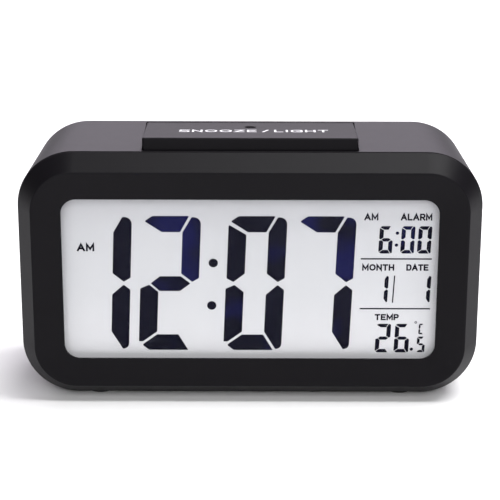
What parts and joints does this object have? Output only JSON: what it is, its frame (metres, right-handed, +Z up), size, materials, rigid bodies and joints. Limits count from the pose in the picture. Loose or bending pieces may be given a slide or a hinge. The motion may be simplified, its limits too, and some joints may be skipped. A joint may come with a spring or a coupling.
{
  "type": "desk alarm clock",
  "caption": "Digital desk alarm clock: rounded black case, wide lit liquid crystal display, hinged snooze bar on top, keys, slide switches and a battery bay behind.",
  "frame": {"origin": "on the surface it stands on, under the middle of the case", "axes": "+X to the right of someone looking at the display, +Y from the display towards the back, +Z up"},
  "size_m": [0.135, 0.0448, 0.0797],
  "materials": {
    "black_case": "fine satin moulded ABS",
    "black_keys": "satin moulded ABS",
    "clear_lens": "clear polished acrylic",
    "display_glass": "polished",
    "polarizer": "grey film",
    "light_guide": "clear acrylic with a dotted back",
    "white_plastic": "white ABS",
    "white_film": "white reflective film",
    "contact_rubber": "layered conductive silicone",
    "diode": "white package with a clear window",
    "flex": "amber polyimide",
    "circuit_board": "green solder mask over fibreglass",
    "black_epoxy": "cast epoxy",
    "ribbon_cable": "grey ribbon insulation",
    "red_wire": "insulated copper wire",
    "black_wire": "insulated copper wire",
    "steel": "zinc plated",
    "nickel": "nickel plated spring steel",
    "capacitor_sleeve": "shrunk sleeve",
    "ceramic": "fired ceramic",
    "black_rubber": "matt",
    "smoked_plastic": "dark smoked polycarbonate",
    "switch_body": "glass-filled nylon",
    "brass": "rolled",
    "cell_jacket": "plain printed jacket over the can"
  },
  "bodies": {
    "case": {"front_bezel": "black_case", "rear_housing": "black_case", "display_lens": "clear_lens", "lcd_front_glass": "display_glass", "lcd_rear_glass": "display_glass", "front_polarizer": "polarizer", "rear_polarizer": "polarizer", "light_guide": "light_guide", "display_carrier": "white_plastic", "reflector_sheet": "white_film", "contact_strip": "contact_rubber", "backlight_leds": "diode", "led_strip": "flex", "main_board": "circuit_board", "sensor_board": "circuit_board", "key_board": "circuit_board", "main_chip": "black_epoxy", "thermistor": "black_epoxy", "stack_screws": "steel", "case_screws": "steel", "key_board_screws": "steel", "sensor_board_screws": "steel", "quartz_crystal": "steel", "battery_springs": "nickel", "contact_plates": "nickel", "capacitors": "capacitor_sleeve", "chip_resistors": "ceramic", "sounder_ceramic": "ceramic", "feet": "black_rubber", "light_sensor": "smoked_plastic", "snooze_switch": "switch_body", "key_switches": "switch_body", "alarm_switch_frame": "switch_body", "light_switch_frame": "switch_body", "sounder_disc": "brass", "key_ribbon": "ribbon_cable", "sensor_ribbon": "ribbon_cable", "positive_lead": "red_wire", "negative_lead": "black_wire", "battery_1": "cell_jacket", "battery_2": "cell_jacket", "battery_3": "cell_jacket"},
    "snooze_bar": {"snooze_bar": "black_case", "sensor_lens": "smoked_plastic"},
    "snooze_plunger": {"snooze_plunger": "switch_body"},
    "set_key": {"set_key": "black_keys", "set_key_plunger": "switch_body"},
    "mode_key": {"mode_key": "black_keys", "mode_key_plunger": "switch_body"},
    "up_key": {"up_key": "black_keys", "up_key_plunger": "switch_body"},
    "down_key": {"down_key": "black_keys", "down_key_plunger": "switch_body"},
    "alarm_slider": {"alarm_slider": "black_keys"},
    "light_slider": {"light_slider": "black_keys"},
    "battery_door": {"battery_door": "black_case"}
  },
  "joints": [
    {"name": "snooze_bar_tip", "type": "hinge", "parent": "case", "child": "snooze_bar", "pos_m": [0, 0.0109, 0.072], "axis": [1, 0, 0], "range_deg": [0, 2.4], "stiffness_Nm_per_rad": 0.1, "springref_deg": -5.73},
    {"name": "snooze_plunger_slide", "type": "slide", "parent": "case", "child": "snooze_plunger", "axis": [0, 0, -1], "range_m": [0, 0.00066]},
    {"name": "set_key_press", "type": "slide", "parent": "case", "child": "set_key", "axis": [0, -0.9982, -0.0597], "range_m": [0, 0.0005], "stiffness_N_per_m": 1000, "springref_m": -0.0005},
    {"name": "mode_key_press", "type": "slide", "parent": "case", "child": "mode_key", "axis": [0, -0.9982, -0.0597], "range_m": [0, 0.0005], "stiffness_N_per_m": 1000, "springref_m": -0.0005},
    {"name": "up_key_press", "type": "slide", "parent": "case", "child": "up_key", "axis": [0, -0.9982, -0.0597], "range_m": [0, 0.0005], "stiffness_N_per_m": 1000, "springref_m": -0.0005},
    {"name": "down_key_press", "type": "slide", "parent": "case", "child": "down_key", "axis": [0, -0.9982, -0.0597], "range_m": [0, 0.0005], "stiffness_N_per_m": 1000, "springref_m": -0.0005},
    {"name": "alarm_slider_slide", "type": "slide", "parent": "case", "child": "alarm_slider", "axis": [-1, 0, 0], "range_m": [0, 0.003]},
    {"name": "light_slider_slide", "type": "slide", "parent": "case", "child": "light_slider", "axis": [-1, 0, 0], "range_m": [0, 0.003]},
    {"name": "battery_door_tilt", "type": "hinge", "parent": "case", "child": "battery_door", "pos_m": [0, 0.02094, 0.01009], "axis": [-1, 0, 0], "range_deg": [0, 95]}
  ],
  "couplings": [
    {"joint": "snooze_plunger_slide", "follows": "snooze_bar_tip", "m_per_rad": 0.0154}
  ]
}
